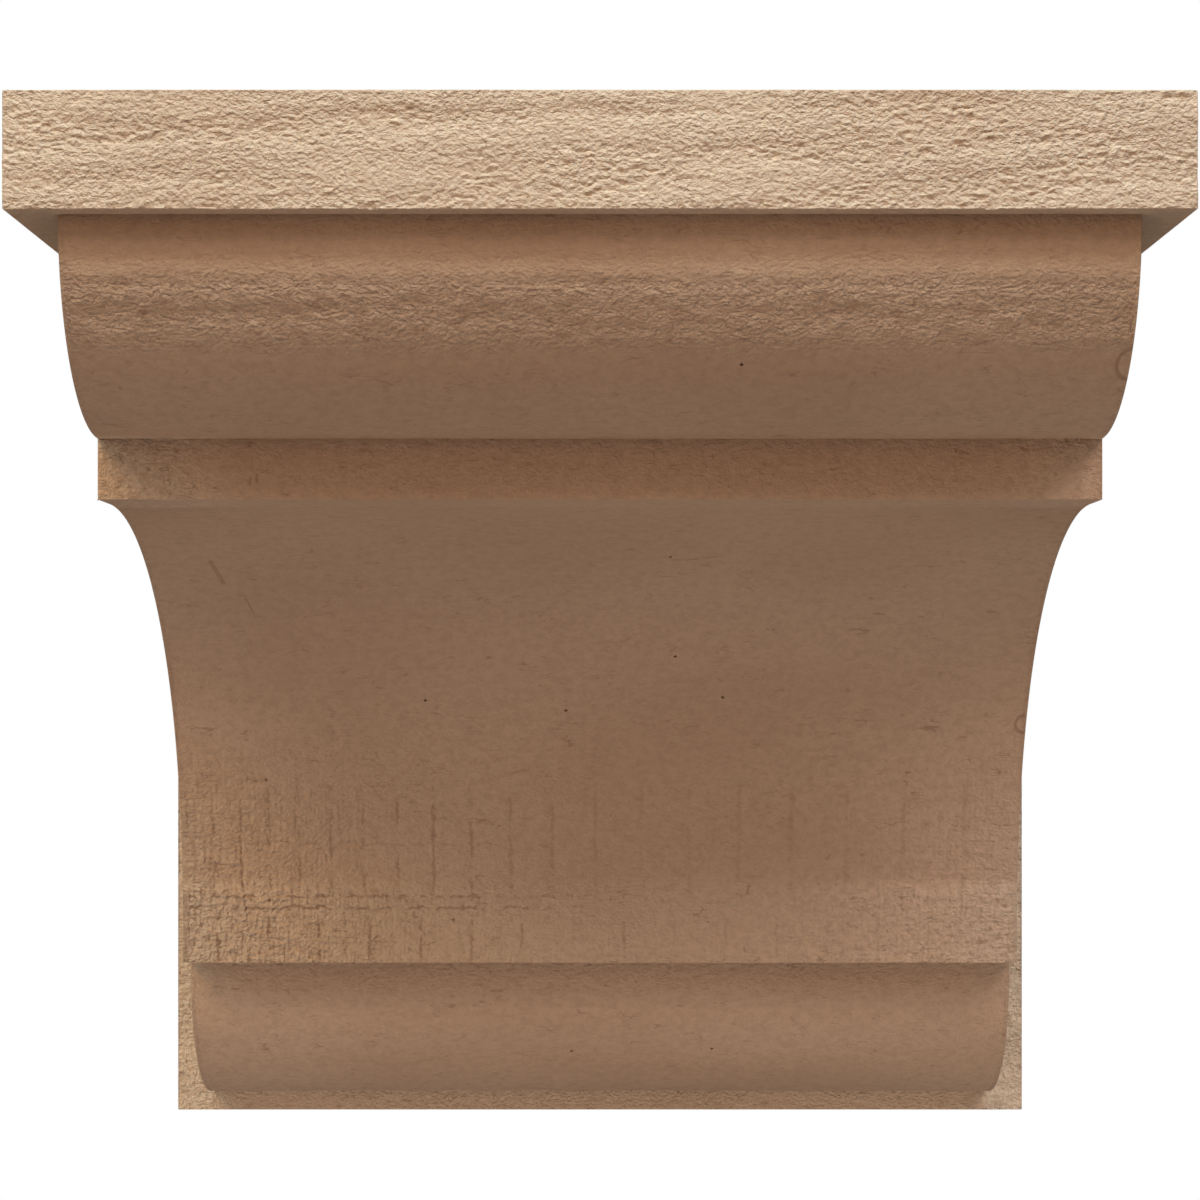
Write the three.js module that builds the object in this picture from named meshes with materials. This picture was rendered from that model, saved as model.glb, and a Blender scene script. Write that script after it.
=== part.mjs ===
// A corbel for a shelf, mantel or beam end: a moulded body between two boards.
// Millimetres, +Z up. The wall is the plane y = 0 and the corbel stands out from it
// along -Y. The origin is the centre of the face that lies against the wall.

import * as THREE from 'three';

// The two boards
const boardWidth = 304.8;
const capThickness = 30.5;
const backThickness = 30.5;

// The body's width, and how far the cap's front edge stands out past the body
const bodyWidth = 279.2;
const capOverhang = 7.5;

// The body's side profile from the top down: a quarter-round bead, a flat band,
// a soffit, a quarter-round cove, a flat lip, a second soffit and a second bead
const upperBeadRadius = 52.5;
const bandHeight = 16.9;
const upperSoffit = 15.8;
const coveRadius = 129.8;
const lipHeight = 14.5;
const lowerSoffit = 15.6;
const lowerBeadRadius = 52.8;

// How far the back board goes on below the lower bead
const footReveal = 7.5;

// The open seam between neighbouring pieces
const seam = 0.3;

// A quarter-round is drawn with twice this many straight steps
const roundSteps = 12;

// What the sizes above add up to
const bodyHeight = upperBeadRadius + bandHeight + coveRadius + lipHeight + lowerBeadRadius;
const bodyDepth = upperBeadRadius + upperSoffit + coveRadius + lowerSoffit + lowerBeadRadius;
const backHeight = bodyHeight + footReveal;
const totalHeight = capThickness + seam + backHeight;
const totalDepth = backThickness + seam + bodyDepth + capOverhang;

// The level just under the cap, where the body and the back board begin
const shoulder = totalHeight / 2 - capThickness - seam;

function coatedWood(colour) {
  return new THREE.MeshStandardMaterial({ color: colour, roughness: 0.85, metalness: 0 });
}

function capBoard() {
  const board = new THREE.BoxGeometry(boardWidth, totalDepth, capThickness);
  const mesh = new THREE.Mesh(board, coatedWood(0xc9ad90));
  mesh.name = 'cap_board';
  mesh.position.set(0, -totalDepth / 2, (totalHeight - capThickness) / 2);
  return mesh;
}

function backBoard() {
  const board = new THREE.BoxGeometry(boardWidth, backThickness, backHeight);
  const mesh = new THREE.Mesh(board, coatedWood(0xb8987a));
  mesh.name = 'back_board';
  mesh.position.set(0, -backThickness / 2, shoulder - backHeight / 2);
  return mesh;
}

// The body seen from its side. x runs out from the back board and y runs up, and the
// outline starts at the top front, so that each quarter-round follows the last.
function sideProfile() {
  const quarter = Math.PI / 2;
  const bandFace = bodyDepth - upperBeadRadius;
  const bandTop = -upperBeadRadius;
  const bandFoot = bandTop - bandHeight;
  const coveFront = bandFace - upperSoffit;
  const lipFace = coveFront - coveRadius;
  const lipTop = bandFoot - coveRadius;
  const lipFoot = lipTop - lipHeight;

  const outline = new THREE.Shape();
  outline.absarc(bandFace, 0, upperBeadRadius, 0, -quarter, true);
  outline.lineTo(bandFace, bandFoot);
  outline.absarc(coveFront, lipTop, coveRadius, quarter, 2 * quarter, false);
  outline.lineTo(lipFace, lipFoot);
  outline.absarc(0, lipFoot, lowerBeadRadius, 0, -quarter, true);
  outline.lineTo(0, 0);
  outline.closePath();
  return outline;
}

function corbelBody() {
  const solid = new THREE.ExtrudeGeometry(sideProfile(), {
    depth: bodyWidth,
    steps: 1,
    bevelEnabled: false,
    curveSegments: roundSteps,
  });
  solid.translate(0, 0, -bodyWidth / 2);
  const mesh = new THREE.Mesh(solid, coatedWood(0xb08c6c));
  mesh.name = 'corbel_body';

  // Turn the profile's x to -Y, its y to +Z and the extrusion across the width
  const turned = new THREE.Matrix4().makeBasis(
    new THREE.Vector3(0, -1, 0),
    new THREE.Vector3(0, 0, 1),
    new THREE.Vector3(-1, 0, 0),
  );
  mesh.quaternion.setFromRotationMatrix(turned);
  mesh.position.set(0, -backThickness - seam, shoulder);
  return mesh;
}

const corbel = new THREE.Group();
corbel.name = 'corbel';
corbel.add(capBoard(), backBoard(), corbelBody());

export default corbel;
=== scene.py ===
# %% [markdown]
# A square corbel: a cap board on top, a board against the wall, and between them a body with a bead,
# a long hollow and a smaller bead. All of it is rough-sawn and wears one matt tan coat.
# The frame gives each part's exact place, so every piece below is sized from it.
# The frame's parts stay as they are. Each gets a piece that stands in for it, with the saw's texture
# cut into it, because a coat of paint alone would leave the boards looking like plastic.

# %% Load the frame
import math

import bmesh
import bpy
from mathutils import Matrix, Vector, noise


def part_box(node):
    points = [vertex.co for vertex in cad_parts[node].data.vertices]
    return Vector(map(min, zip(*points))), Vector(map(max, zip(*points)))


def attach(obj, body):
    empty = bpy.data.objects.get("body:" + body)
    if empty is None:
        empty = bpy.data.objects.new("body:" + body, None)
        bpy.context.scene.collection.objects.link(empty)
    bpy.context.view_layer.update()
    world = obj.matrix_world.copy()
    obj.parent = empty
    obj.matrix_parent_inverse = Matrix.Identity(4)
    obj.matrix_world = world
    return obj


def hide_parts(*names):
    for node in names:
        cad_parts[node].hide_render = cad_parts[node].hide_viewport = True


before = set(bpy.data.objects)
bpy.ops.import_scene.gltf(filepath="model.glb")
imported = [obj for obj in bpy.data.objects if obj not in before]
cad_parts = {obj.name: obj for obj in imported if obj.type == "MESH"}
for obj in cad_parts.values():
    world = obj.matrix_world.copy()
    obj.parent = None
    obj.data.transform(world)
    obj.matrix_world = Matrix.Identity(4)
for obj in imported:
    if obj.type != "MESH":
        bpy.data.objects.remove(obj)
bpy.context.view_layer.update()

bpy.ops.object.select_all(action="DESELECT")
MM = 0.001
cap_low, cap_high = [Vector(corner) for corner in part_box("cap_board")]
back_low, back_high = [Vector(corner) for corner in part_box("back_board")]
body_low, body_high = [Vector(corner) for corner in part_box("corbel_body")]

# The boards touch: the frame leaves 0.3 mm between them, which glue and paint fill on the real thing.
FILLED = 0.28 * MM
back_high.z += FILLED
body_high += Vector((0, FILLED, FILLED))
print("cap board, mm:", [round(side / MM, 1) for side in cap_high - cap_low])
print("body, mm:", [round(side / MM, 1) for side in body_high - body_low])

# %% [markdown]
# The camera comes first.
# It stands straight in front of the corbel, level with its middle and fairly close, which is why the
# underside of the cap board shows a little. The picture is moved up on the sensor instead of tilting
# the camera, so that upright edges stay upright.

# %% Camera
SENSOR = 36
PICTURE_WIDTH = 1200
FOCAL_PIXELS = 2569
HORIZON_FROM_TOP = 687.78
CAMERA_TO_CAP = 0.6537

camera = bpy.data.objects.new("camera", bpy.data.cameras.new("camera"))
bpy.context.scene.collection.objects.link(camera)
camera.location = (0, cap_low.y - CAMERA_TO_CAP, 0)
camera.rotation_euler = (math.radians(90), 0, 0)
camera.data.sensor_width = SENSOR
camera.data.lens = SENSOR * FOCAL_PIXELS / PICTURE_WIDTH
camera.data.shift_y = (HORIZON_FROM_TOP - PICTURE_WIDTH / 2) / PICTURE_WIDTH
bpy.context.scene.camera = camera
bpy.context.scene.view_settings.view_transform = "Standard"
print("lens, mm:", round(camera.data.lens, 2), "shift:", round(camera.data.shift_y, 4))

# %% [markdown]
# Every piece needs its faces and edges picked by where they are, so one helper does the picking.
# It works in edit mode, and the mesh tools then act on what it picked.

# %% Picking parts of a mesh
MODES = {"verts": "VERT", "edges": "EDGE", "faces": "FACE"}


def pick(piece, kind, wanted):
    """Selects the verts, edges or faces for which wanted is true, and counts them."""
    bpy.ops.mesh.select_mode(type=MODES[kind])
    bpy.ops.mesh.select_all(action="DESELECT")
    shape = bmesh.from_edit_mesh(piece.data)
    chosen = [part for part in getattr(shape, kind) if not part.hide and wanted(part)]
    for part in chosen:
        part.select_set(True)
    bmesh.update_edit_mesh(piece.data)
    return len(chosen)


def edge_along(axis, at_least):
    """Says yes to a straight edge along an axis, 0 for X, 1 for Y and 2 for Z, that is long enough."""
    def wanted(edge):
        run = abs(edge.verts[0].co[axis] - edge.verts[1].co[axis])
        return run > at_least and run > 0.999 * edge.calc_length()
    return wanted


def cut_into_rows(piece, axis, length, pitch):
    """Cuts the long edges along an axis into equal steps of about the pitch, in parts of 100 at most."""
    parts = math.ceil(length / pitch / 100)
    for steps in (parts, round(length / parts / pitch)):
        if steps > 1:
            count = pick(piece, "edges", edge_along(axis, length / 2))
            bpy.ops.mesh.subdivide(number_cuts=steps - 1)
            print(piece.name, "axis", axis, count, "edges cut into", steps)
            length = length / steps


# %% [markdown]
# A board starts as a block of its true size. Its twelve edges are eased by a quarter of a millimetre,
# as a saw and a coat of paint leave them, and its faces are then cut into a grid. The grid is what
# the saw's texture is pressed into, so it is finer where the board is seen from close by.

# %% A board with eased edges
EASED = 0.25 * MM


def board(name, low, high, pitch):
    """Makes a gridded board between two corners and leaves it in edit mode."""
    bpy.ops.mesh.primitive_cube_add(size=1, location=(low + high) / 2, scale=high - low)
    piece = bpy.context.object
    piece.name = name
    bpy.ops.object.transform_apply(location=True, rotation=True, scale=True)
    bpy.ops.object.mode_set(mode="EDIT")
    bpy.ops.mesh.select_all(action="SELECT")
    bpy.ops.mesh.bevel(offset=EASED, segments=1)
    for axis in range(3):
        cut_into_rows(piece, axis, (high - low)[axis] - 2 * EASED, pitch)
    return piece


def refine(piece, cuts, wanted):
    """Divides the chosen faces further."""
    count = pick(piece, "faces", wanted)
    bpy.ops.mesh.subdivide(number_cuts=cuts)
    print(piece.name, count, "faces divided by", cuts + 1)


# %% [markdown]
# The cap board lies on top and stands out past the body at the front and at both sides. Its front
# edge is the coarsest face of the whole corbel and catches the most light, so it gets a grid of
# less than half a millimetre. A plain grid all over would waste faces on the top and the back.

# %% Cap board
BOARD_PITCH = 3 * MM
cap = board("cap_board_rough", cap_low, cap_high, BOARD_PITCH)
refine(cap, 7, lambda face: face.normal.y < -0.99)
bpy.ops.object.mode_set(mode="OBJECT")
print("cap board faces:", len(cap.data.polygons))

# %% [markdown]
# The board on the wall shows only a strip at each side and a narrow foot below the body, so only
# those parts are cut finer.

# %% Back board
back = board("back_board_rough", back_low, back_high, BOARD_PITCH)
HIDDEN_MARGIN = 4 * MM


def beside_the_body(face):
    """Says yes to the front faces of the back board that the body leaves in view."""
    middle = face.calc_center_median()
    seen = abs(middle.x) > body_high.x - HIDDEN_MARGIN or middle.z < body_low.z + HIDDEN_MARGIN / 2
    return face.normal.y < -0.99 and seen


refine(back, 3, beside_the_body)
bpy.ops.object.mode_set(mode="OBJECT")
print("back board faces:", len(back.data.polygons))

# %% [markdown]
# The body is the same outline all the way across, as if one saw had followed it through a block.
# The outline is drawn like a bent wire at one side: a single point is pushed along the flats and
# spun round the centres of the two beads and the hollow. It is then filled and stretched across.

# %% Outline of the body
PITCH = 1.3 * MM
UPPER_BEAD = 52.5 * MM
BAND = 16.9 * MM
UPPER_SOFFIT = 15.8 * MM
HOLLOW = 129.8 * MM
LIP = 14.5 * MM
LOWER_SOFFIT = 15.6 * MM
LOWER_BEAD = 52.8 * MM
tip = Vector((body_low.x, body_low.y, body_high.z))


def flat(away):
    """Carries the wire's end straight on, in steps of the pitch."""
    global tip
    steps = max(1, round(away.length / PITCH))
    for _ in range(steps):
        bpy.ops.mesh.extrude_vertices_move(TRANSFORM_OT_translate={"value": away / steps})
    tip = tip + away


def round_part(centre, quarter_turns):
    """Carries the wire's end a quarter turn round a centre."""
    global tip
    steps = round((tip - centre).length * math.pi / 2 / PITCH)
    bpy.ops.mesh.spin(
        steps=steps, angle=quarter_turns * math.pi / 2, center=centre, axis=(-1, 0, 0), dupli=False
    )
    arm = tip - centre
    tip = centre + Vector((0, -arm.z * quarter_turns, arm.y * quarter_turns))


bpy.ops.mesh.primitive_plane_add(size=1 * MM, location=tip)
body = bpy.context.object
body.name = "corbel_body_rough"
bpy.ops.object.transform_apply(location=True, rotation=True, scale=True)
bpy.ops.object.mode_set(mode="EDIT")
bpy.ops.mesh.select_mode(type="VERT")
bpy.ops.mesh.select_all(action="SELECT")
bpy.ops.mesh.merge(type="CENTER")

flat(Vector((0, 0, -FILLED)))
round_part(tip + Vector((0, UPPER_BEAD, 0)), 1)
flat(Vector((0, 0, -BAND)))
band_foot = tip.copy()
flat(Vector((0, UPPER_SOFFIT, 0)))
round_part(tip - Vector((0, 0, HOLLOW)), -1)
flat(Vector((0, 0, -LIP)))
lip_foot = tip.copy()
flat(Vector((0, LOWER_SOFFIT, 0)))
round_part(tip + Vector((0, LOWER_BEAD, 0)), 1)
flat(Vector((0, FILLED, 0)))
drawn = [vert.co for vert in bmesh.from_edit_mesh(body.data).verts if vert.select]
print("outline ends at, mm:", [round(part / MM, 2) for part in tip], "point drawn there:", drawn)

# %% [markdown]
# The two projecting corners of the outline are eased while it is still a wire, which is easier than
# easing them on the finished block. The wire is then closed up the back and along the top.

# %% Close the outline
bpy.ops.mesh.extrude_vertices_move(TRANSFORM_OT_translate={"value": (0, 0, body_high.z - tip.z)})
pick(body, "verts", lambda vert: len(vert.link_edges) == 1)
bpy.ops.mesh.edge_face_add()
corners = pick(
    body, "verts", lambda vert: min((vert.co - band_foot).length, (vert.co - lip_foot).length) < 0.1 * MM
)
bpy.ops.mesh.bevel(offset=EASED, segments=2, affect="VERTICES")
bpy.ops.mesh.select_all(action="SELECT")
bpy.ops.mesh.edge_face_add()
print("corners eased:", corners)

# %% [markdown]
# The cheek, which is the flat side of the body, needs a grid of its own for the saw's texture. A rim
# a millimetre wide is set in first and hidden, so that the cuts stop short of the outline.

# %% Grid on the cheek
CHEEK_PITCH = 3 * MM
bpy.ops.mesh.select_mode(type="FACE")
bpy.ops.mesh.select_all(action="SELECT")
bpy.ops.mesh.inset(thickness=1 * MM, depth=0, use_even_offset=True)
bpy.ops.mesh.hide(unselected=True)
for axis, low, high in ((1, body_low.y, body_high.y), (2, body_low.z, body_high.z)):
    across = Vector((0, 1, 0)) if axis == 1 else Vector((0, 0, 1))
    rows = round((high - low) / CHEEK_PITCH)
    for row in range(1, rows):
        bpy.ops.mesh.select_all(action="SELECT")
        bpy.ops.mesh.bisect(plane_co=across * (low + (high - low) * row / rows), plane_no=across)
bpy.ops.mesh.reveal()
bpy.ops.mesh.select_all(action="SELECT")
print("cheek faces:", len(bmesh.from_edit_mesh(body.data).faces))

# %% [markdown]
# The cheek is stretched across to the other side, the edges round both cheeks are eased, and the
# surface between them is cut into columns.

# %% Stretch the body across
WIDTH = body_high.x - body_low.x
bpy.ops.mesh.extrude_region_move(TRANSFORM_OT_translate={"value": (WIDTH, 0, 0)})
bpy.ops.mesh.select_all(action="SELECT")
bpy.ops.mesh.normals_make_consistent(inside=False)


def round_a_cheek(edge):
    """Says yes to an edge between a cheek and the surface across."""
    if len(edge.link_faces) != 2:
        return False
    tilts = sorted(abs(face.normal.x) for face in edge.link_faces)
    return tilts[0] < 0.1 and tilts[1] > 0.9


def beside_the_easing(edge):
    """Says yes to an edge where the eased corner of a cheek begins or ends."""
    tilts = sorted(abs(face.normal.x) for face in edge.link_faces)
    return len(tilts) == 2 and tilts[1] > 0.6 and tilts[1] - tilts[0] > 0.2


rim = pick(body, "edges", round_a_cheek)
bpy.ops.mesh.bevel(offset=EASED, segments=1, affect="EDGES")
crisp = pick(body, "edges", beside_the_easing)
bpy.ops.mesh.mark_sharp()
cut_into_rows(body, 0, WIDTH - 2 * EASED, PITCH)
bpy.ops.object.mode_set(mode="OBJECT")
print("edges round the cheeks:", rim, "kept crisp:", crisp, "body faces:", len(body.data.polygons))

# %% [markdown]
# The saw and the plaster-like filler under the paint leave a relief of bumps, drawn out sideways.
# It is pressed in with Displace modifiers, because it has to show in the outline and cast its own
# small shadows. A ruler object stretches each pattern, and is thrown away once the relief is applied.
# Every cut goes inward, so a board never grows past its size.

# %% Pressing a relief into a piece
def zone(piece, name, weight):
    """Makes a vertex group whose strength at each point comes from a rule of place and facing."""
    group = piece.vertex_groups.new(name=name)
    for vert in piece.data.vertices:
        strength = weight(vert.co / MM, vert.normal)
        if strength > 0:
            group.add([vert.index], min(1, strength), "REPLACE")


def press(piece, cell, depth, where, straight_back=False, **settings):
    """Cuts a pattern into a zone: cell is the size of a bump and depth the deepest cut, in mm."""
    texture = bpy.data.textures.new("relief", "CLOUDS")
    texture.noise_scale = 1
    for key, value in settings.items():
        setattr(texture, key, value)
    ruler = bpy.data.objects.new("ruler", None)
    bpy.context.scene.collection.objects.link(ruler)
    ruler.scale = Vector(cell) * MM
    bpy.context.view_layer.update()
    relief = piece.modifiers.new("relief", "DISPLACE")
    relief.texture = texture
    relief.texture_coords = "OBJECT"
    relief.texture_coords_object = ruler
    relief.vertex_group = where
    relief.direction = "Y" if straight_back else "NORMAL"
    relief.mid_level = 1
    relief.strength = -depth * MM if straight_back else depth * MM
    bpy.context.view_layer.objects.active = piece
    bpy.ops.object.modifier_apply(modifier=relief.name)
    bpy.data.objects.remove(ruler)
    bpy.data.textures.remove(texture)
    print(piece.name, "cells", cell, "pressed", depth, "mm into", where)


def patchy(place, cell, low, high):
    """A soft 0 to 1 mask in irregular patches of about the cell's size, in mm."""
    value = noise.noise(Vector((place.x / cell[0], place.y / cell[1], place.z / cell[2])))
    return min(1, max(0, (value - low) / (high - low)))


# %% [markdown]
# The front of the cap is crossed by short wavy ridges that run mostly sideways, in patches. Four
# patterns from broad to fine are pressed straight back, so that the front's outline stays straight.
# The other faces are hardly seen and get one plain pattern, which stops short of the edges.

# %% Relief on the cap board
BODY_SIDE = 142
BODY_FRONT = -300
EDGE_MARGIN = 4


def away_from_edges(place, normal, low, high):
    """0 at the edges of a board's face and 1 well inside them, so that the outline stays straight."""
    gaps = [
        min(place[axis] - low[axis] / MM, high[axis] / MM - place[axis])
        for axis in range(3)
        if abs(normal[axis]) < 0.5
    ]
    return min(1, max(0, min(gaps) / EDGE_MARGIN)) if len(gaps) == 2 else 0


def cap_front(place, normal):
    """All of the front, without its eased edges."""
    return 1 if place.y < (cap_low.y + 1.2 * EASED) / MM else 0


def cap_clumps(place, normal):
    """Patches of the front in which the ridges are deeper."""
    return cap_front(place, normal) * (0.35 + 0.65 * patchy(place, (55, 20, 7), -0.2, 0.3))


def cap_other(place, normal):
    """The top, the sides, the back and the overhang, but not the part that lies on the body."""
    on_the_body = normal.z < -0.5 and abs(place.x) < BODY_SIDE and place.y > BODY_FRONT
    if on_the_body or normal.y < -0.6:
        return 0
    return away_from_edges(place, normal, cap_low, cap_high)


zone(cap, "front", cap_front)
zone(cap, "clumps", cap_clumps)
zone(cap, "other", cap_other)
press(cap, (30, 30, 4), 0.2, "front", straight_back=True, noise_depth=0)
press(cap, (3, 3, 1.4), 0.6, "clumps", straight_back=True, noise_depth=1, noise_type="HARD_NOISE")
press(cap, (2.4, 2.4, 1.4), 0.45, "clumps", straight_back=True, noise_depth=0)
press(cap, (1.4, 1.4, 1), 0.4, "front", straight_back=True, noise_depth=1)
press(cap, (12, 12, 6), 0.6, "other", noise_depth=2)

# %% [markdown]
# The back board shows as a strip at each side, which is as rough as the cap, and as a low band under
# the body, which is smoother. What the body covers is left flat.

# %% Relief on the back board
STRIP_EDGE = 138
BODY_FOOT = -143


def back_seen(place, normal):
    """1 on the two strips and less on the band below the body."""
    if normal.y > -0.9:
        return 0
    return 1 if abs(place.x) > STRIP_EDGE else 0.3 if place.z < BODY_FOOT else 0


def back_other(place, normal):
    """Every face but the front."""
    return 0 if normal.y < -0.9 else away_from_edges(place, normal, back_low, back_high)


zone(back, "seen", back_seen)
zone(back, "other", back_other)
press(back, (3, 3, 2.4), 0.8, "seen", straight_back=True, noise_depth=1, noise_type="HARD_NOISE")
press(back, (12, 12, 6), 0.6, "other", noise_depth=2)

# %% [markdown]
# The body is smooth in its middle and rough in three places: a crumpled band round the upper bead
# with long grooves in it, the foot of the hollow, and the saw's own cuts there. Each place is a zone
# of its own, given by a rule in millimetres, because no one pattern is both smooth and rough.

# %% Rough places of the body
CREASE = 69.1
SOFFIT = 52.2
LIP_FOOT = -92.1
BODY_TOP = 121
BAND_MIDDLE = 99
BAND_SPREAD = 9


def body_front(place, normal):
    """The surface across, from the top of the upper bead to the foot of the lower one."""
    across = abs(normal.x) < 0.3 and normal.y < 0.5 and normal.z < 0.95
    return 1 if across and place.z < BODY_TOP else 0


def bead_band(place, normal):
    """The crumpled band round the upper bead."""
    if place.z < CREASE or not body_front(place, normal):
        return 0
    return math.exp(-(((place.z - BAND_MIDDLE) / BAND_SPREAD) ** 2))


def low_rough(place, normal):
    """The foot of the hollow, which the saw left roughest, mostly at the left."""
    if not body_front(place, normal) or not LIP_FOOT < place.z < 0:
        return 0
    side = min(1, max(0, (abs(place.x + 10) - 30) / 90))
    return min(1, -place.z / 70) * (0.2 + 0.8 * side)


# %% [markdown]
# The cheeks get a plain pattern, which has to fade out before the outline. So the outline is worked
# out again here, as a depth for every height.

# %% Cheeks of the body
def outline_y(z):
    """Where the outline of the body lies at a height, both in mm."""
    front, back_face = body_low.y / MM, body_high.y / MM
    bead, hollow, foot = UPPER_BEAD / MM, HOLLOW / MM, LOWER_BEAD / MM
    if z > CREASE:
        return front + bead - math.sqrt(max(0, bead ** 2 - (z - CREASE - bead) ** 2))
    if z > SOFFIT:
        return front + bead
    if z > LIP_FOOT:
        rise = max(0, z - SOFFIT + hollow)
        return front + bead + UPPER_SOFFIT / MM + math.sqrt(max(0, hollow ** 2 - rise ** 2))
    return back_face - math.sqrt(max(0, foot ** 2 - (z - LIP_FOOT) ** 2))


def body_cheek(place, normal):
    """1 on a cheek, fading out towards the outline, which stays true."""
    inside = min(place.y - outline_y(place.z + step) for step in (-4, 0, 4))
    return min(1, max(0, (abs(normal.x) - 0.97) * 50)) * min(1, max(0, inside / 6))


# %% [markdown]
# The grooves are long and shallow, as if the tool had shivered on its way round the bead. The cuts
# are the marks of the saw's teeth: upright ones that fan out to the right, a second row of them at
# the foot, and a few level ones that are broken up.

# %% Grooves and cuts
# Each groove: its height and half width in mm, and its share of the full depth.
BAND_GROOVES = ((110.8, 1.4, 0.45), (104.4, 1.3, 0.6), (96, 3.2, 0.5))


def band_waves(place, normal):
    """Three long shallow grooves round the bead, wandering a little up and down."""
    if not body_front(place, normal) or place.z < CREASE:
        return 0
    sway = 0.8 * noise.noise(Vector((place.x / 24, 0, place.z / 30)))
    return max(
        share * math.exp(-(((place.z + sway - middle) / half) ** 2)) for middle, half, share in BAND_GROOVES
    )


# The upright cuts lie closer the nearer they are to a point CUT_FAN mm to the left of the middle.
# Their distance from each other is the distance from that point, divided by CUT_RATE.
CUT_FAN = 317.7
CUT_RATE = 21.35
FAN_START = 0.4
LOW_CUT_PITCH = 17
LOW_CUT_START = 0.03
CUT_HALF_WIDTH = 0.8
UPPER_CUT_SPAN = (-68, -30)
LOWER_CUT_SPAN = (-91, -75)
LEVEL_CUTS = (-44, -52.5, -70, -74)


def cut_gap(turns, pitch):
    """Distance in mm from the nearest cut, where each cut is half a turn past a whole one."""
    return abs(turns % 1 - 0.5) * pitch


def saw_cuts(place, normal):
    """Thin upright and level cuts low in the hollow, where the saw's teeth were lifted and set down."""
    if not body_front(place, normal) or not LIP_FOOT < place.z < -25 or abs(place.x) > 135:
        return 0
    fanned = CUT_RATE * math.log(place.x + CUT_FAN) - FAN_START
    fanned_gap = cut_gap(fanned, (place.x + CUT_FAN) / CUT_RATE)
    low_gap = cut_gap(place.x / LOW_CUT_PITCH + LOW_CUT_START, LOW_CUT_PITCH)
    strength = 0
    for gap, (low, high) in ((fanned_gap, UPPER_CUT_SPAN), (low_gap, LOWER_CUT_SPAN)):
        inside = min(1, max(0, (place.z - low) / 4)) * min(1, max(0, (high - place.z) / 8))
        strength = max(strength, inside * math.exp(-((gap / CUT_HALF_WIDTH) ** 2)))
    drift = 1.5 * noise.noise(Vector((place.x / 9, 0, 0)))
    gap = min(abs(place.z + drift - cut) for cut in LEVEL_CUTS)
    level = math.exp(-((gap / CUT_HALF_WIDTH) ** 2)) * patchy(place, (8, 50, 6), -0.1, 0.1)
    strength = max(strength, level * min(1, max(0, (20 - place.x) / 60)))
    return strength * (0.35 + 0.65 * min(1, max(0, (20 - place.x) / 80)))


# %% [markdown]
# With the zones in place the patterns are pressed in, the broadest first. HARD_NOISE folds its values
# back at the middle and so leaves creases, as in crumpled paint.

# %% Relief on the body
zone(body, "front", body_front)
zone(body, "band", bead_band)
zone(body, "waves", band_waves)
zone(body, "cuts", saw_cuts)
zone(body, "low", low_rough)
zone(body, "cheek", body_cheek)
press(body, (60, 14, 14), 0.25, "front", noise_depth=0)
press(body, (40, 6, 6), 1.0, "waves", noise_depth=0)
press(body, (5, 2.8, 2.8), 0.9, "band", noise_depth=1, noise_type="HARD_NOISE")
press(body, (3, 3, 3), 0.5, "low", noise_depth=1)
press(body, (4, 4, 4), 0.7, "cuts", noise_depth=0)
press(body, (12, 12, 7), 0.6, "cheek", noise_depth=2)

# %% [markdown]
# A few small round holes, about a millimetre across, are left in the face, as if by pins. A grid
# point is cut off to leave a small round face at each place, and that face is pushed in.

# %% Pin holes
# Across and up from the middle, in mm.
HOLES = ((-57, -4), (-11, -7), (24, 10), (40, -3), (21, 40), (37, 85), (-10, -125), (39, -124))
HOLES += ((-110, -30), (-110, -71), (-49, -77))
HOLE_RADIUS = 0.85 * MM
HOLE_DEPTH = 1.2 * MM
bpy.ops.object.select_all(action="DESELECT")
body.select_set(True)
bpy.context.view_layer.objects.active = body
bpy.ops.object.mode_set(mode="EDIT")
grid = [vert.co.copy() for vert in bmesh.from_edit_mesh(body.data).verts if vert.normal.y < 0.2]
centres = [
    min(grid, key=lambda spot: (spot.x / MM - x) ** 2 + (spot.z / MM - z) ** 2) for x, z in HOLES
]
pick(body, "verts", lambda vert: any((vert.co - centre).length < 0.01 * MM for centre in centres))
bpy.ops.mesh.bevel(offset=HOLE_RADIUS, segments=3, affect="VERTICES")


def over_a_hole(face):
    """Says yes to the faces inside the rim of a hole."""
    middle = face.calc_center_median()
    return any((middle - centre).length < 0.9 * HOLE_RADIUS for centre in centres)


lids = pick(body, "faces", over_a_hole)
bpy.ops.mesh.extrude_region_shrink_fatten(TRANSFORM_OT_shrink_fatten={"value": -HOLE_DEPTH})
bpy.ops.object.mode_set(mode="OBJECT")
print("holes:", len(centres), "faces pushed in:", lids)

# %% [markdown]
# The grid must not show as flat little faces, so the surfaces are shaded smooth. Edges sharper than
# 35 degrees stay crisp, among them the corners of the boards and the creases under the beads.

# %% Smooth shading
for piece in (cap, back, body):
    bpy.ops.object.select_all(action="DESELECT")
    piece.select_set(True)
    bpy.context.view_layer.objects.active = piece
    bpy.ops.object.shade_smooth_by_angle(angle=math.radians(35))
    triangles = sum(len(face.vertices) - 2 for face in piece.data.polygons)
    print(piece.name, "triangles:", triangles)

# %% [markdown]
# A coat is easier to read as sums than as a heap of nodes, so a small class wraps a node's output,
# and adding or multiplying two of them adds the Math node. Any other node comes from one method.

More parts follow.
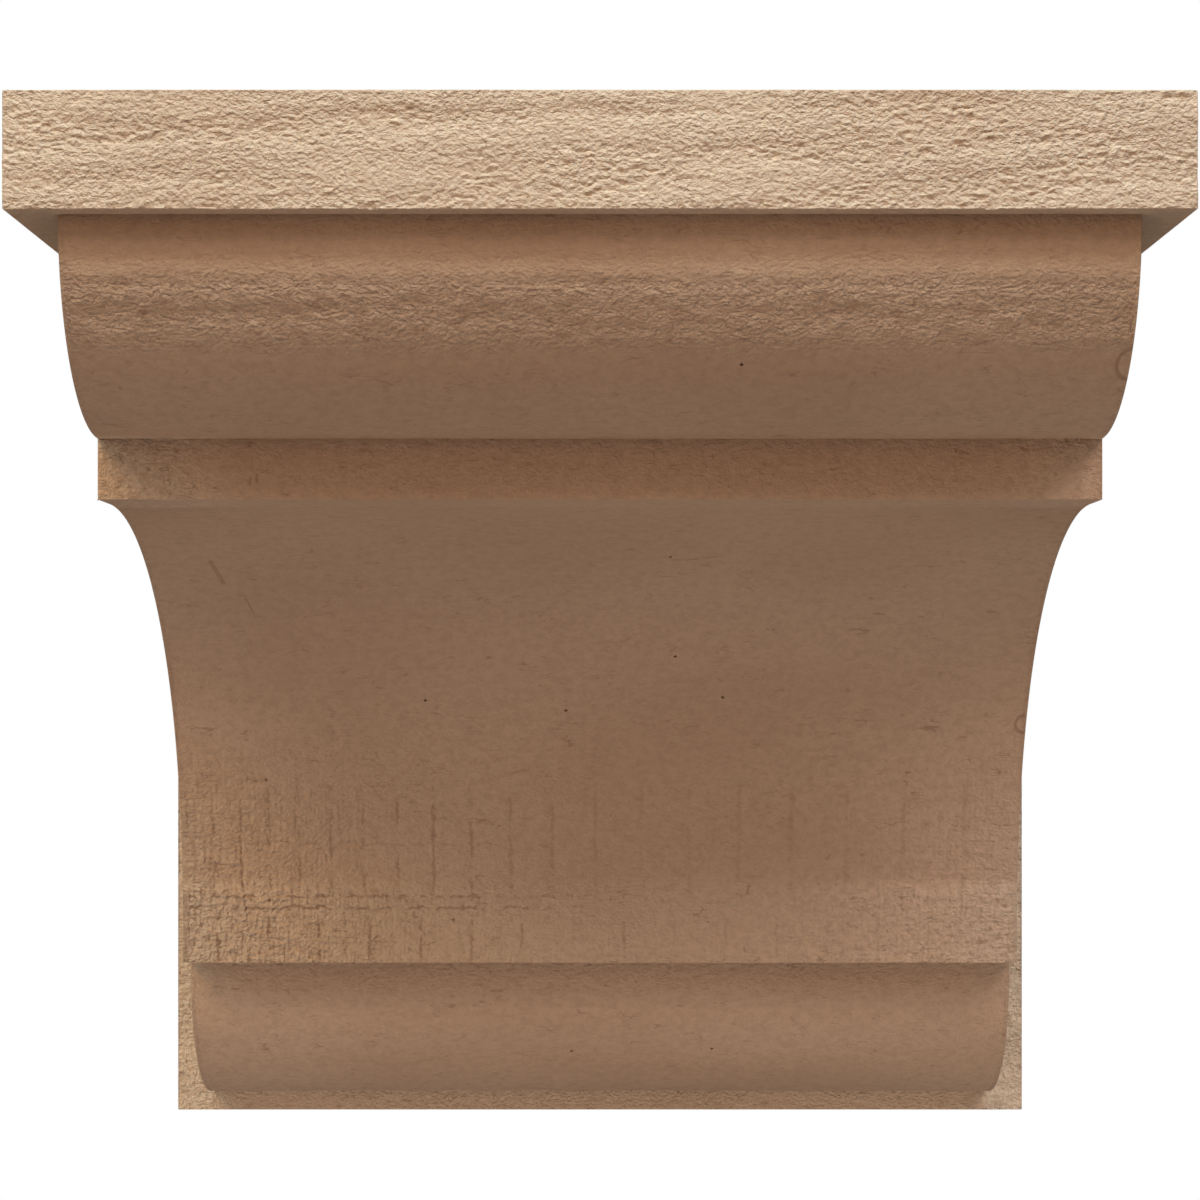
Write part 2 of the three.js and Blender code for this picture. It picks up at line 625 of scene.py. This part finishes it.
# %% Sums on material values
class Value:
    """An output of a node that can be used in a sum."""

    def __init__(self, coat, socket):
        self.coat = coat
        self.socket = socket

    def _math(self, operation, first, second):
        return self.coat.node("ShaderNodeMath", {"operation": operation}, {0: first, 1: second})

    def __add__(self, other):
        return self._math("ADD", self, other)

    def __mul__(self, other):
        return self._math("MULTIPLY", self, other)

    def __sub__(self, other):
        return self._math("SUBTRACT", self, other)

    def __rsub__(self, other):
        return self._math("SUBTRACT", other, self)

    def __truediv__(self, other):
        return self._math("DIVIDE", self, other)

    __radd__ = __add__
    __rmul__ = __mul__


class Coat:
    """One painted finish, built node by node."""

    def __init__(self, name):
        self.material = bpy.data.materials.new(name)
        self.material.use_nodes = True
        self.tree = self.material.node_tree
        self.shader = self.tree.nodes["Principled BSDF"]
        self.place = self.node("ShaderNodeTexCoord", output="Object")
        parts = self.node("ShaderNodeSeparateXYZ", {}, {0: self.place})
        self.x = parts / MM
        self.z = Value(self, parts.socket.node.outputs["Z"]) / MM

    def node(self, kind, settings=None, inputs=None, output=0):
        made = self.tree.nodes.new(kind)
        for key, value in (settings or {}).items():
            setattr(made, key, value)
        for socket, value in (inputs or {}).items():
            self.feed(made.inputs[socket], value)
        return Value(self, made.outputs[output])

    def feed(self, socket, value):
        if isinstance(value, Value):
            self.tree.links.new(value.socket, socket)
        else:
            socket.default_value = value

    def noise(self, cell, detail=2, rough=0.5):
        """Noise of 0 to 1 whose bumps are about the cell's size, in mm."""
        stretched = self.node(
            "ShaderNodeVectorMath", {"operation": "DIVIDE"}, {0: self.place, 1: [side * MM for side in cell]}
        )
        inputs = {"Vector": stretched, "Scale": 1, "Detail": detail, "Roughness": rough}
        return self.node("ShaderNodeTexNoise", {}, inputs, "Fac")

    def layer(self, name):
        """The numbers that a piece keeps under a name."""
        return self.node("ShaderNodeAttribute", {"attribute_name": name}, {}, "Fac")

    def size_of(self, value):
        """A value without its sign."""
        return self.node("ShaderNodeMath", {"operation": "ABSOLUTE"}, {0: value})

    def between(self, value, low, high):
        """Turns low to high of a value into 0 to 1, softly."""
        inputs = {"Value": value, "From Min": low, "From Max": high}
        return self.node("ShaderNodeMapRange", {"interpolation_type": "SMOOTHSTEP"}, inputs)

    def blend(self, amount, first, second):
        """Mixes two colours."""
        return self.node("ShaderNodeMix", {"data_type": "RGBA"}, {0: amount, 6: first, 7: second}, 2)


# %% [markdown]
# Where a face is rough, crumpled or cut is worked out point by point and kept in the mesh itself, as
# named layers of numbers. The coat only has to look them up, which is much quicker than working the
# same rules out again for every ray of light.

# %% Soft steps
def soft_step(value, low, high):
    """0 up to low and 1 from high on, softly in between. Low may be the larger one."""
    share = min(1, max(0, (value - low) / (high - low)))
    return share * share * (3 - 2 * share)


def window(value, low, high, soft):
    """1 between low and high, fading to 0 over the soft width outside them."""
    return soft_step(value, low - soft, low) * soft_step(value, high + soft, high)


print("half of a soft step:", soft_step(5, 0, 10))

# %% [markdown]
# Two rules give the fine surface of the body: how crumpled the paint is, and how grainy the wood is
# under it. They follow the same places as the relief, so that coarse and fine agree.

# %% Rough and crumpled parts of the body
CHEEK_MARGIN = 1.2


def on_the_front(place):
    """Says whether a point of the body is on the surface across, and not on a cheek."""
    return abs(place.x) < body_high.x / MM - CHEEK_MARGIN


def body_crumple(place):
    """How crumpled the paint is: most in a band round the upper bead and at the ends of the flat below."""
    bead = window(place.z, 92, 104, 6) * 1.1 + window(place.z, 66, 72, 3) * 0.2
    ends = soft_step(place.x, -104, -124) * 0.9 + soft_step(place.x, 108, 128) * 0.3
    return (bead + ends * window(place.z, SOFFIT, CREASE, 0.5)) * on_the_front(place)


def body_roughness(place):
    """How grainy the sawn face of the body is, from 0 to 1, mostly low in the hollow and to its left."""
    if not on_the_front(place):
        return 0.3
    side = soft_step(abs(place.x + 10), 30, 120)
    left = soft_step(place.x, 0, -120)
    slope = soft_step(place.z, -5, -50) * (side * 0.55 + left * 0.4)
    foot = window(place.z, -90, -70, 5) * (0.3 + side * 0.25 + left * 0.2)
    shelf = window(place.z, -104, LIP_FOOT, 3) * 0.2 + soft_step(place.z, 112, 120) * 0.2
    return window(place.z, LIP_FOOT, 10, 0.2) * (slope + foot) + shelf


# %% [markdown]
# The cuts are grooves in the mesh already. On top of them the coat gets sharp dark lines, as dust and
# shade gather in a cut, and these layers say how strong the lines are.

# %% Strength of the cut lines
def cut_strength(place, span, depth):
    """How strong the lines of the upright cuts are, which get weaker to the right."""
    to_the_left = 0.35 + soft_step(place.x, 20, -60) * 0.65
    return window(place.z, span[0] + 3, span[1] - 5, 5) * to_the_left * depth * on_the_front(place)


def upper_cuts(place):
    """The cuts that fan out across the lower hollow."""
    return cut_strength(place, UPPER_CUT_SPAN, 0.35)


def lower_cuts(place):
    """The second row, just above the lip's lower edge."""
    return cut_strength(place, LOWER_CUT_SPAN, 0.4)


def level_cuts(place):
    """The level cuts, which are stronger near the foot."""
    deep = soft_step(place.z, -60, -66) * 0.25 + 0.15
    return deep * soft_step(place.x, 20, -40) * on_the_front(place)


# %% [markdown]
# The boards are simpler: rougher here and there in drawn-out patches, and roughest on the strips
# beside the body.

# %% Rough parts of the boards
def patches(place):
    """0 to 1 in drawn-out patches."""
    return patchy(place, (30, 12, 10), -0.2, 0.2)


def cap_roughness(place):
    """The cap's coarse ridges are in the mesh, so its fine grain is weak."""
    return 0.1 + patches(place) * 0.1


def cap_crumple(place):
    """A few faint folds."""
    return 0.17 + patches(place) * 0.17


def beside_body(place):
    """1 on the strips at the sides of the body and 0 below it."""
    return soft_step(abs(place.x), 137, 141)


def strip_roughness(place):
    """Grainy beside the body and less so below it."""
    return 0.2 + beside_body(place) * 0.3 + patches(place) * 0.3


def strip_crumple(place):
    """Folded paint beside the body and a quarter of it below."""
    return (0.6 + patches(place) * 0.3) * (0.25 + beside_body(place) * 0.75)


# %% [markdown]
# The coat isn't one even tan. It is paler in broad soft patches, and it is painted paler where more
# light falls: on the rough and crumpled parts, at the ends of the flat, low in the hollow, on the lower
# bead and on the strips beside the body. So a last rule gives each point its share of the pale tone.

# %% Pale tone and painted light
def clouds(place):
    """Broad soft patches that all the pieces have."""
    return patchy(place, (70, 50, 40), -0.3, 0.3) * 0.18


def body_tone_and_painted_light(place):
    """Painted light, palest low in the hollow, at both sides, and at the ends of the flat above it, over
    broad patches of tone.
    """
    ends = soft_step(place.x, -95, -130) * 0.75 + soft_step(place.x, 105, 130) * 0.35
    flat_part = window(place.z, SOFFIT, CREASE, 0.5)
    foot = window(place.z, -91, -68, 6) * (soft_step(abs(place.x + 10), 50, 115) * 0.45 + 0.15)
    slope = window(place.z, -70, -15, 15) * soft_step(abs(place.x), 60, 120) * 0.15
    bead = soft_step(place.z, LIP_FOOT, LIP_FOOT - 1) * (0.13 + soft_step(place.x, -60, -120) * 0.13)
    # Painted light: paler on the crumpled and rough parts, the ends of the flat, the foot, the slope and the
    # lower bead.
    painted_light_on_rough = body_crumple(place) * 0.21 + body_roughness(place) * 0.18
    return clouds(place) + painted_light_on_rough + (ends + 0.15) * flat_part + foot + slope + bead


def cap_tone_and_painted_light(place):
    """Nearly even, with broad patches of tone and a little painted light on the folds."""
    return clouds(place) + cap_crumple(place) * 0.32


def strip_tone_and_painted_light(place):
    """Painted light: pale strips beside the body, the right one most, over broad patches of tone."""
    beside = beside_body(place) * (0.33 + soft_step(place.x, 0, 20) * 0.2)
    return clouds(place) + strip_crumple(place) * 0.21 + strip_roughness(place) * 0.18 + beside


# %% [markdown]
# Each rule is now worked out once for every point of its piece.

# %% Layers of the three pieces
def keep_layer(piece, name, rule):
    """Works a rule out at every point of a piece and keeps the numbers under a name."""
    numbers = [rule(vert.co / MM) for vert in piece.data.vertices]
    layer = piece.data.attributes.new(name, "FLOAT", "POINT")
    layer.data.foreach_set("value", numbers)
    print(piece.name, name, "from", round(min(numbers), 2), "to", round(max(numbers), 2))


keep_layer(cap, "rough", cap_roughness)
keep_layer(cap, "crumple", cap_crumple)
keep_layer(cap, "pale", cap_tone_and_painted_light)
keep_layer(back, "rough", strip_roughness)
keep_layer(back, "crumple", strip_crumple)
keep_layer(back, "pale", strip_tone_and_painted_light)
keep_layer(body, "rough", body_roughness)
keep_layer(body, "crumple", body_crumple)
keep_layer(body, "pale", body_tone_and_painted_light)
keep_layer(body, "upper_cuts", upper_cuts)
keep_layer(body, "lower_cuts", lower_cuts)
keep_layer(body, "level_cuts", level_cuts)

# %% [markdown]
# All three pieces wear one matt tan primer. Under it the wood's grain is too fine for the mesh, so it
# is a bump of up to a millimetre in the coat. Rough parts add lumps and short ribs, crumpled parts
# add folds. The colour goes darker in the hollows between them, which is painted shade, and along
# short thin dashes, where the saw tore a fibre out. Four noises would do for one even board, but the
# corbel needs them mixed by the layers kept above.

# %% Tan coat
TAN = (0.605, 0.428, 0.281)
DEEP_TAN = (0.46, 0.31, 0.20)
PALE_TAN = (0.82, 0.645, 0.455)
SMOOTH_GRIT = 0.65
ROUGH_GRIT = 0.75
LUMPS = 1.1
RIBS = 0.7
WRINKLE = 1.2
MOTTLE_SHADE = 0.45
DASH_SHADE = 0.9
HOLLOW_PAINTED_SHADE = 0.6
LINE_SHADE = 2.2
MATT = 0.7
WEAK_SHINE = 0.3


def tan_coat(name, light_and_shade_tint, saw_lines=None):
    """A matt tan primer over sawn wood. The tint is its share of red, green and blue on one piece, painted
    in for the light and shade that piece gets.
    """
    coat = Coat(name)
    rough = coat.layer("rough")
    crumpled = coat.layer("crumple")
    grain = coat.noise((1.2, 0.95, 0.95), 2, 0.6)
    folds = coat.size_of(coat.noise((3.8, 1.8, 1.8), 1, 0.5) - 0.5)
    lumps = coat.noise((2, 1.8, 1.8), 1, 0.6)
    height = grain * (SMOOTH_GRIT + (rough + crumpled) * ROUGH_GRIT)
    height = height + lumps * LUMPS * (rough + crumpled * 0.7)
    height = height + folds * WRINKLE * crumpled
    # Painted shade: the colour darkens in the creases of the folds and in the hollows between the lumps.
    painted_crease_shade = coat.between(folds, 0.08, 0) * crumpled * 0.5
    painted_hollow_shade = painted_crease_shade + coat.between(lumps, 0.47, 0.3) * rough * 0.5
    if saw_lines:
        lines = saw_lines(coat, lumps)
        ribs = coat.noise((1.2, 9, 9), 0) + coat.noise((9, 9, 1.4), 0)
        height = height + ribs * rough * RIBS
    bump = coat.node("ShaderNodeBump", {}, {"Strength": 1, "Distance": MM, "Height": height}, "Normal")
    coat.feed(coat.shader.inputs["Normal"], bump)
    tan, deep, pale = (
        [part * share for part, share in zip(tone, light_and_shade_tint)] + [1] for tone in (TAN, DEEP_TAN, PALE_TAN)
    )
    # The pale layer mixes in pale tone and painted light.
    colour = coat.blend(coat.layer("pale"), tan, pale)
    mottle = coat.between(coat.noise((3.2, 2.6, 2.6), 2, 0.8), 0.3, 0.75)
    dashes = coat.between(coat.size_of(coat.noise((7, 1.6, 1.6), 0) - 0.5), 0.03, 0)
    dashes = dashes * coat.between(coat.noise((7, 6, 6), 0), 0.6, 0.68)
    # The hollows' share is painted shade. The mottle and the dashes are the coat's own tone.
    dark = mottle * MOTTLE_SHADE + dashes * DASH_SHADE + painted_hollow_shade * HOLLOW_PAINTED_SHADE
    if saw_lines:
        dark = dark + lines * LINE_SHADE
    colour = coat.blend(dark, colour, deep)
    coat.feed(coat.shader.inputs["Base Color"], colour)
    coat.shader.inputs["Roughness"].default_value = MATT
    coat.shader.inputs["Specular IOR Level"].default_value = WEAK_SHINE
    return coat


# %% [markdown]
# The lines along the cuts are found from the same numbers as the grooves. A logarithm turns the fan
# into evenly spaced steps, and the fraction of a step says how near the next line is, so that all
# the lines cost no more than one. The lumps make them ragged, and a noise breaks them up.

# %% Saw lines
MEAN_FAN_PITCH = 11


def body_saw_lines(coat, lumps):
    """Thin lines along the saw's cuts low in the hollow."""
    ragged = lumps * 2.4 - 1.2
    across = coat.x + ragged
    fanned = coat.node("ShaderNodeMath", {"operation": "LOGARITHM"}, {0: across + CUT_FAN, 1: math.e})
    families = (
        (fanned * CUT_RATE - FAN_START, MEAN_FAN_PITCH, "upper_cuts"),
        (across / LOW_CUT_PITCH + LOW_CUT_START, LOW_CUT_PITCH, "lower_cuts"),
    )
    upright = 0
    for turns, pitch, layer in families:
        beat = coat.node("ShaderNodeMath", {"operation": "FRACT"}, {0: turns})
        near = coat.between(coat.size_of(beat - 0.5), 0.75 / pitch, 0.1 / pitch)
        upright = near * coat.layer(layer) + upright
    broken = coat.noise((5, 9, 7), 0)
    drift = coat.z + ragged + broken * 3 - 1.5
    level = 0
    for cut in LEVEL_CUTS:
        level = coat.between(coat.size_of(drift - cut), 0.7, 0.1) + level
    level = level * coat.between(broken, 0.56, 0.44) * coat.layer("level_cuts")
    return upright * coat.between(broken, 0.36, 0.54) + level


# %% [markdown]
# Two half-round knocks at the right edge and three thin scratches at the left show on the face. They
# have no depth to speak of, so they are lines in the colour too.

# %% Knocks and scratches
# Each knock: its middle across and up, and its radius. Each scratch: from across and up to across and
# up, and half the gap where it is a double line. All in mm.
KNOCKS = ((139.6, 85.2, 3.55), (139.0, -11.8, 2.9))
SCRATCHES = (
    (-119.5, 38.9, -117, 32.4, 0.35),
    (-111.2, 28.2, -109.3, 23.5, 0),
    (-77.4, -85.6, -74.4, -83.1, 0),
)
KNOCK_LINE = 0.7
SCRATCH_LINE = 0.44
MARK_SHADE = 0.5


def body_marks(coat):
    """Draws the half-round knocks and the thin scratches."""
    marks = 0
    for x, z, radius in KNOCKS:
        right = coat.x - x
        up = coat.z - z
        away = coat.node("ShaderNodeMath", {"operation": "SQRT"}, {0: right * right + up * up})
        ring = coat.between(coat.size_of(away - radius), KNOCK_LINE, 0.15)
        marks = ring * coat.between(right, 1, -1) + marks
    for x0, z0, x1, z1, half_gap in SCRATCHES:
        length = math.hypot(x1 - x0, z1 - z0)
        right, up = (x1 - x0) / length, (z1 - z0) / length
        along = (coat.x - x0) * right + (coat.z - z0) * up
        across = coat.size_of((coat.x - x0) * up - (coat.z - z0) * right)
        if half_gap:
            across = coat.size_of(across - half_gap)
        inside = coat.between(along, -0.4, 0.2) * coat.between(along, length + 0.4, length - 0.2)
        marks = coat.between(across, SCRATCH_LINE, 0.05) * inside + marks
    return marks * MARK_SHADE


def body_lines(coat, lumps):
    """All the thin lines on the body."""
    return body_saw_lines(coat, lumps) + body_marks(coat)


print("knocks:", len(KNOCKS), "scratches:", len(SCRATCHES))

# %% [markdown]
# Each piece gets its own coat, whose tint paints in the light and shade it gets: the cap board and the
# back board lighter, and the body darker, in the cap's shade. Then it takes the place of its part in
# the frame and rides on the frame's one body.

# %% Finish for each piece
# The tints are painted light and shade: the cap and the back board lighter, the body darker.
CAP_PAINTED_LIGHT_TINT = (1.06, 1.09, 1.11)
BACK_PAINTED_LIGHT_TINT = (1.15, 1.18, 1.19)
BODY_PAINTED_SHADE_TINT = (0.925, 0.885, 0.87)
finishes = {
    cap: ("cap_board", tan_coat("cap_coat", CAP_PAINTED_LIGHT_TINT)),
    back: ("back_board", tan_coat("back_coat", BACK_PAINTED_LIGHT_TINT)),
    body: ("corbel_body", tan_coat("body_coat", BODY_PAINTED_SHADE_TINT, body_lines)),
}
for piece, (slot, coat) in finishes.items():
    piece.data.materials.append(coat.material)
    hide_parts(slot)
    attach(piece, "root")
    print(piece.name, "stands in for", slot)

# %% [markdown]
# The light is a plain studio: three broad lamps high in front, of which the left one is warm and the
# middle one cool, weak ones at both sides, low in front, at eye level and behind, and three small
# ones close below, in place of the light that a pale table throws up. Fewer lamps would do for a box,
# but the hollow and the beads each take their light from another height.

# %% Lights
# Each far lamp: degrees round from the front, degrees up, and watts of red, green and blue.
STUDIO_LAMPS = (
    ("high_front", 0, 62, (14.2, 29.7, 39.3)),
    ("front_left", -38, 45, (21.3, 14.8, 9.2)),
    ("front_right", 38, 45, (19, 15.6, 15.3)),
    ("side_left", -65, 25, (5.8, 8.7, 8.9)),
    ("side_right", 65, 25, (1, 2.7, 3.5)),
    ("low_front", 0, 25, (6, 3, 1.4)),
    ("eye_level", -15, 5, (4.5, 3.9, 3.6)),
    ("behind", 180, 15, (14, 13, 12)),
)
# Each near lamp: its place in metres, and watts of red, green and blue.
NEAR_LAMPS = (
    ("below", (0, -0.5, -0.6), (1.12, 0.93, 0.87)),
    ("below_left", (-0.5, -0.2, -0.4), (0.54, 0.5, 0.5)),
    ("below_right", (0.5, -0.2, -0.4), (0.62, 0.62, 0.6)),
)
FAR_AWAY = 2.2
FAR_SIZE = 1.1
NEAR_SIZE = 0.5
aim = Vector((0, -0.15, 0))


def lamp(name, place, size, strength):
    """A round soft lamp at a place, turned to the corbel. Its strength is in watts of red, green, blue."""
    light = bpy.data.lights.new(name, "AREA")
    light.shape = "DISK"
    light.size = size
    light.energy = max(strength)
    light.color = [part / light.energy for part in strength]
    stand = bpy.data.objects.new(name, light)
    stand.location = place
    stand.rotation_euler = (place - aim).to_track_quat("Z", "Y").to_euler()
    bpy.context.scene.collection.objects.link(stand)


for name, azimuth, elevation, strength in STUDIO_LAMPS:
    around, up = math.radians(azimuth), math.radians(elevation)
    away = Vector((math.sin(around) * math.cos(up), -math.cos(around) * math.cos(up), math.sin(up)))
    lamp(name, aim + away * FAR_AWAY, FAR_SIZE, strength)
for name, place, strength in NEAR_LAMPS:
    lamp(name, Vector(place), NEAR_SIZE, strength)
print("lamps:", len(STUDIO_LAMPS) + len(NEAR_LAMPS))

# %% [markdown]
# The backdrop is white to the eye, but lights the corbel only weakly, because a white room would
# wash out the shade under the cap. The floor lies a metre below and takes no part in the light.

# %% Backdrop and floor
world = bpy.data.worlds.new("studio")
bpy.context.scene.world = world
world.use_nodes = True
room = world.node_tree
glow = room.nodes["Background"]
WARM_GLOW = (1, 0.54, 0.37, 1)
glow.inputs["Color"].default_value = WARM_GLOW
glow.inputs["Strength"].default_value = 0.02
white = room.nodes.new("ShaderNodeBackground")
white.inputs["Color"].default_value = (1, 1, 1, 1)
eye = room.nodes.new("ShaderNodeLightPath")
choice = room.nodes.new("ShaderNodeMixShader")
room.links.new(eye.outputs["Is Camera Ray"], choice.inputs[0])
room.links.new(glow.outputs[0], choice.inputs[1])
room.links.new(white.outputs[0], choice.inputs[2])
room.links.new(choice.outputs[0], room.nodes["World Output"].inputs["Surface"])

FLOOR_DEPTH = 1.0
bpy.ops.mesh.primitive_plane_add(size=4, location=(0, 0, -FLOOR_DEPTH))
floor = bpy.context.object
floor.name = "studio_floor"
bpy.ops.object.transform_apply(location=True, rotation=True, scale=True)
paper = Coat("pale_paper")
GREY_PAPER = (0.86, 0.86, 0.86, 1)
PALE_PAPER = (0.9, 0.9, 0.9, 1)
tone = paper.blend(paper.noise((90, 90, 90)), GREY_PAPER, PALE_PAPER)
paper.feed(paper.shader.inputs["Base Color"], tone)
floor.data.materials.append(paper.material)
floor.visible_diffuse = False
floor.visible_glossy = False
floor.visible_shadow = False
print("floor at, m:", -FLOOR_DEPTH)
